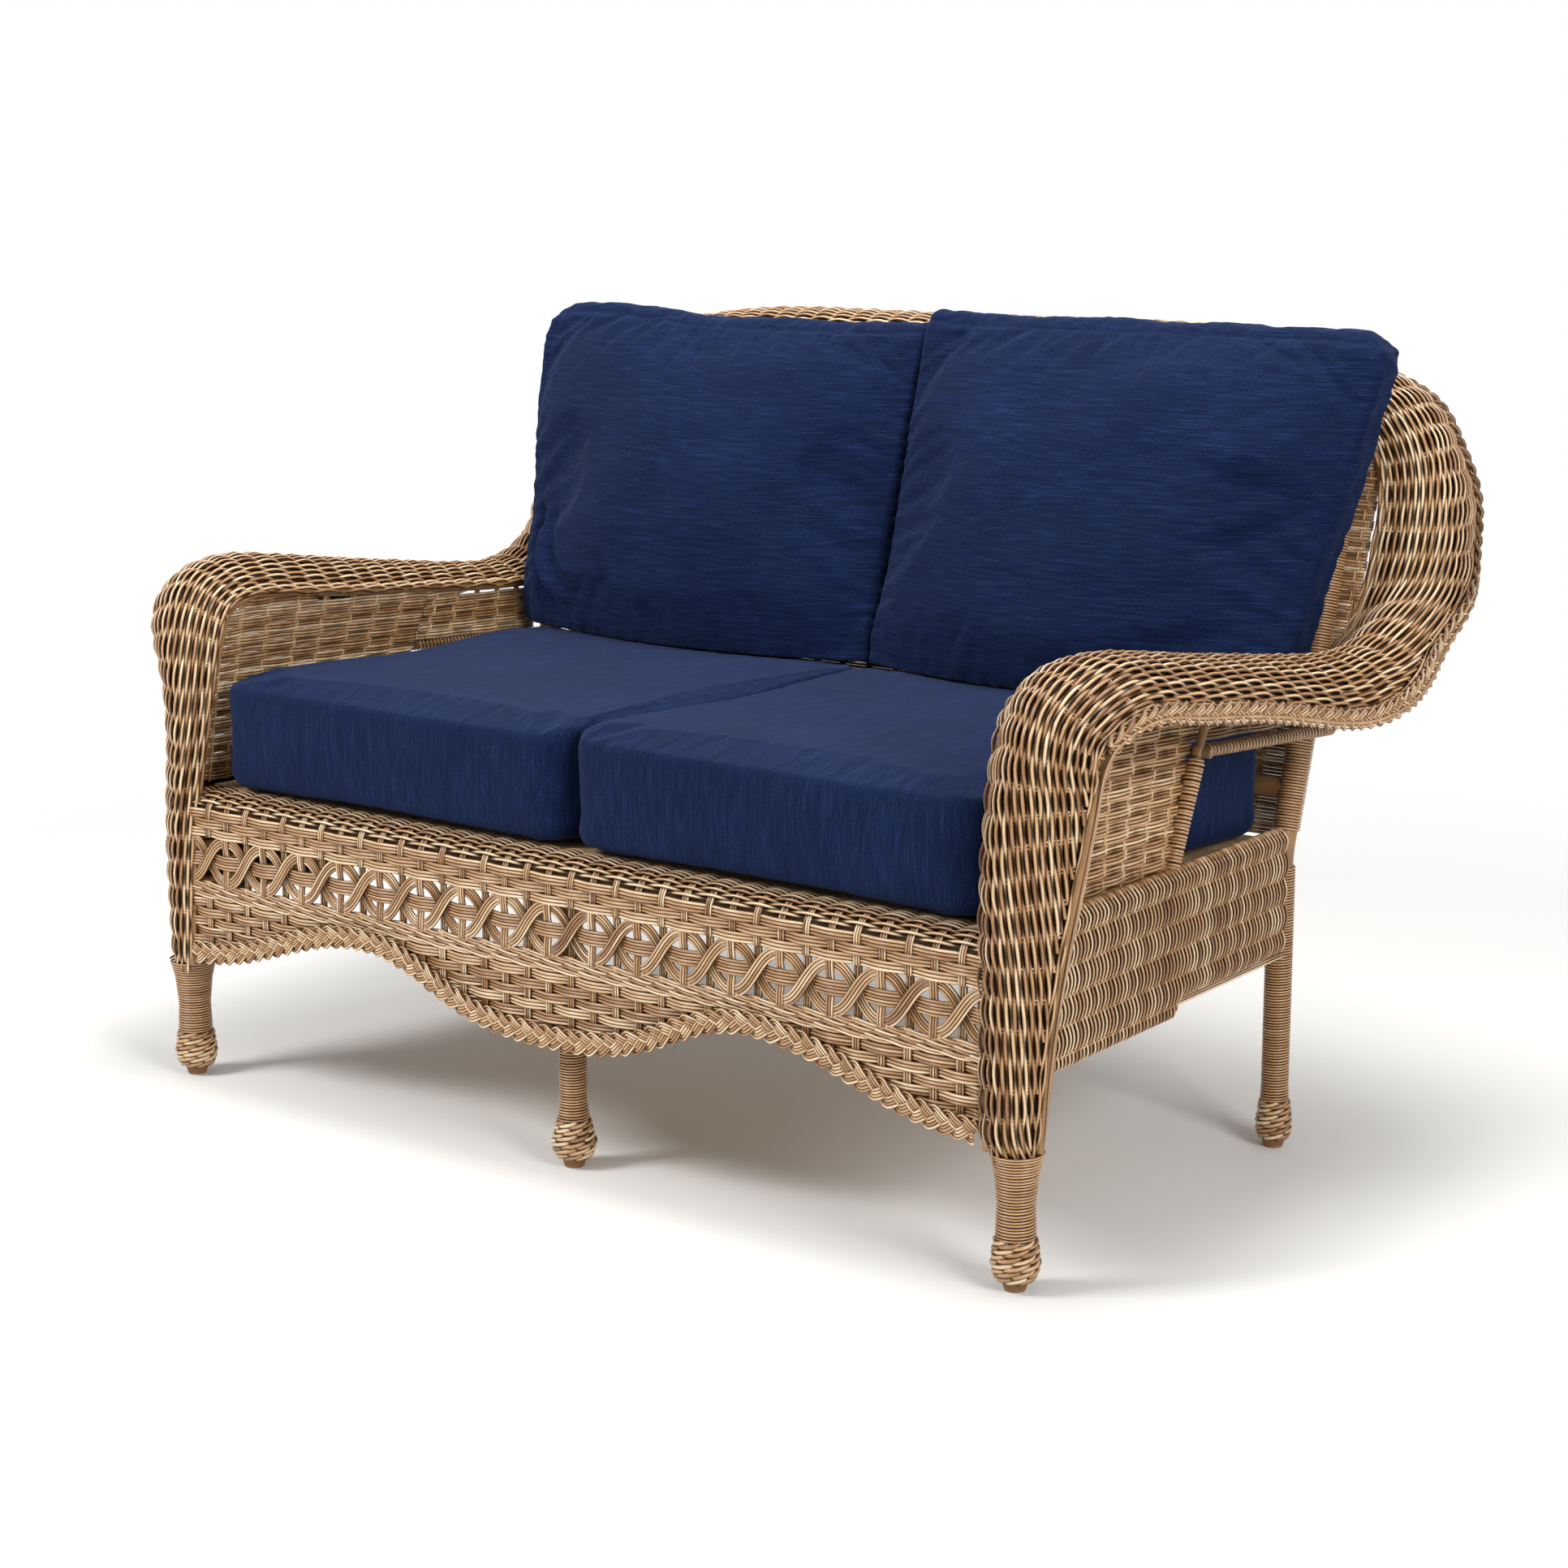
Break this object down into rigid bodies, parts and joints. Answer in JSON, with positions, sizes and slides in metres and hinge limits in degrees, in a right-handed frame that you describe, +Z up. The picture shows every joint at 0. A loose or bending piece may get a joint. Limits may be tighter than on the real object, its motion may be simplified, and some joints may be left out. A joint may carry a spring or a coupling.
{
  "type": "patio loveseat",
  "caption": "Wicker loveseat with a rolled high back, rolled arms, scalloped apron, turned feet and loose navy cushions.",
  "frame": {"origin": "middle of the footprint of the whole piece, on the floor under the glides", "axes": "+X across the seat to the sitter's left, +Y to the back, +Z up"},
  "size_m": [1.4044, 0.8638, 0.8898],
  "materials": {
    "frame_tube": "tan powder coat",
    "wicker": "honey resin wicker",
    "webbing": "woven seat webbing",
    "glide": "moulded brown",
    "screw": "zinc plated",
    "cushion_cover": "navy slub weave"
  },
  "bodies": {
    "frame": {"apron_braid": "wicker", "apron_rod": "frame_tube", "arm_brace_left": "frame_tube", "arm_brace_right": "frame_tube", "arm_braid_left": "wicker", "arm_braid_right": "wicker", "arm_panel_left": "wicker", "arm_panel_right": "wicker", "arm_roll_left": "wicker", "arm_roll_right": "wicker", "arm_stay_left": "frame_tube", "arm_stay_right": "frame_tube", "back_braid": "wicker", "back_crossbar_lower": "frame_tube", "back_crossbar_upper": "frame_tube", "back_inner_hoop": "frame_tube", "back_outer_rim": "frame_tube", "back_panel": "wicker", "back_roll_crest": "wicker", "back_roll_wing_left": "wicker", "back_roll_wing_right": "wicker", "center_glide": "glide", "center_leg_wrap": "wicker", "clamp_screws": "screw", "front_apron": "wicker", "front_glide_left": "glide", "front_glide_right": "glide", "front_leg_center": "frame_tube", "front_leg_left": "frame_tube", "front_leg_right": "frame_tube", "front_leg_wrap_left": "wicker", "front_leg_wrap_right": "wicker", "front_seat_rail": "frame_tube", "inner_arm_rail_left": "frame_tube", "inner_arm_rail_right": "frame_tube", "outer_arm_rim_left": "frame_tube", "outer_arm_rim_right": "frame_tube", "rear_glide_left": "glide", "rear_glide_right": "glide", "rear_leg_wrap_left": "wicker", "rear_leg_wrap_right": "wicker", "rear_post_left": "frame_tube", "rear_post_right": "frame_tube", "rear_seat_rail": "frame_tube", "seat_crossbar_center": "frame_tube", "seat_crossbar_left": "frame_tube", "seat_crossbar_right": "frame_tube", "seat_deck": "webbing", "side_seat_rail_left": "frame_tube", "side_seat_rail_right": "frame_tube", "side_skirt_left": "wicker", "side_skirt_right": "wicker", "side_skirt_rods_left": "frame_tube", "side_skirt_rods_right": "frame_tube", "stay_clamp_left": "frame_tube", "stay_clamp_right": "frame_tube"},
    "seat_cushion_left": {"seat_cushion_left": "cushion_cover"},
    "seat_cushion_right": {"seat_cushion_right": "cushion_cover"},
    "back_cushion_left": {"back_cushion_left": "cushion_cover"},
    "back_cushion_right": {"back_cushion_right": "cushion_cover"}
  },
  "joints": [
    {"name": "seat_cushion_left_slide", "type": "slide", "parent": "frame", "child": "seat_cushion_left", "axis": [0, -1, 0], "range_m": [0, 0.6]},
    {"name": "seat_cushion_right_slide", "type": "slide", "parent": "frame", "child": "seat_cushion_right", "axis": [0, -1, 0], "range_m": [0, 0.6]},
    {"name": "back_cushion_left_lift", "type": "slide", "parent": "frame", "child": "back_cushion_left", "axis": [0, 0, 1], "range_m": [0, 0.45]},
    {"name": "back_cushion_right_lift", "type": "slide", "parent": "frame", "child": "back_cushion_right", "axis": [0, 0, 1], "range_m": [0, 0.45]}
  ]
}
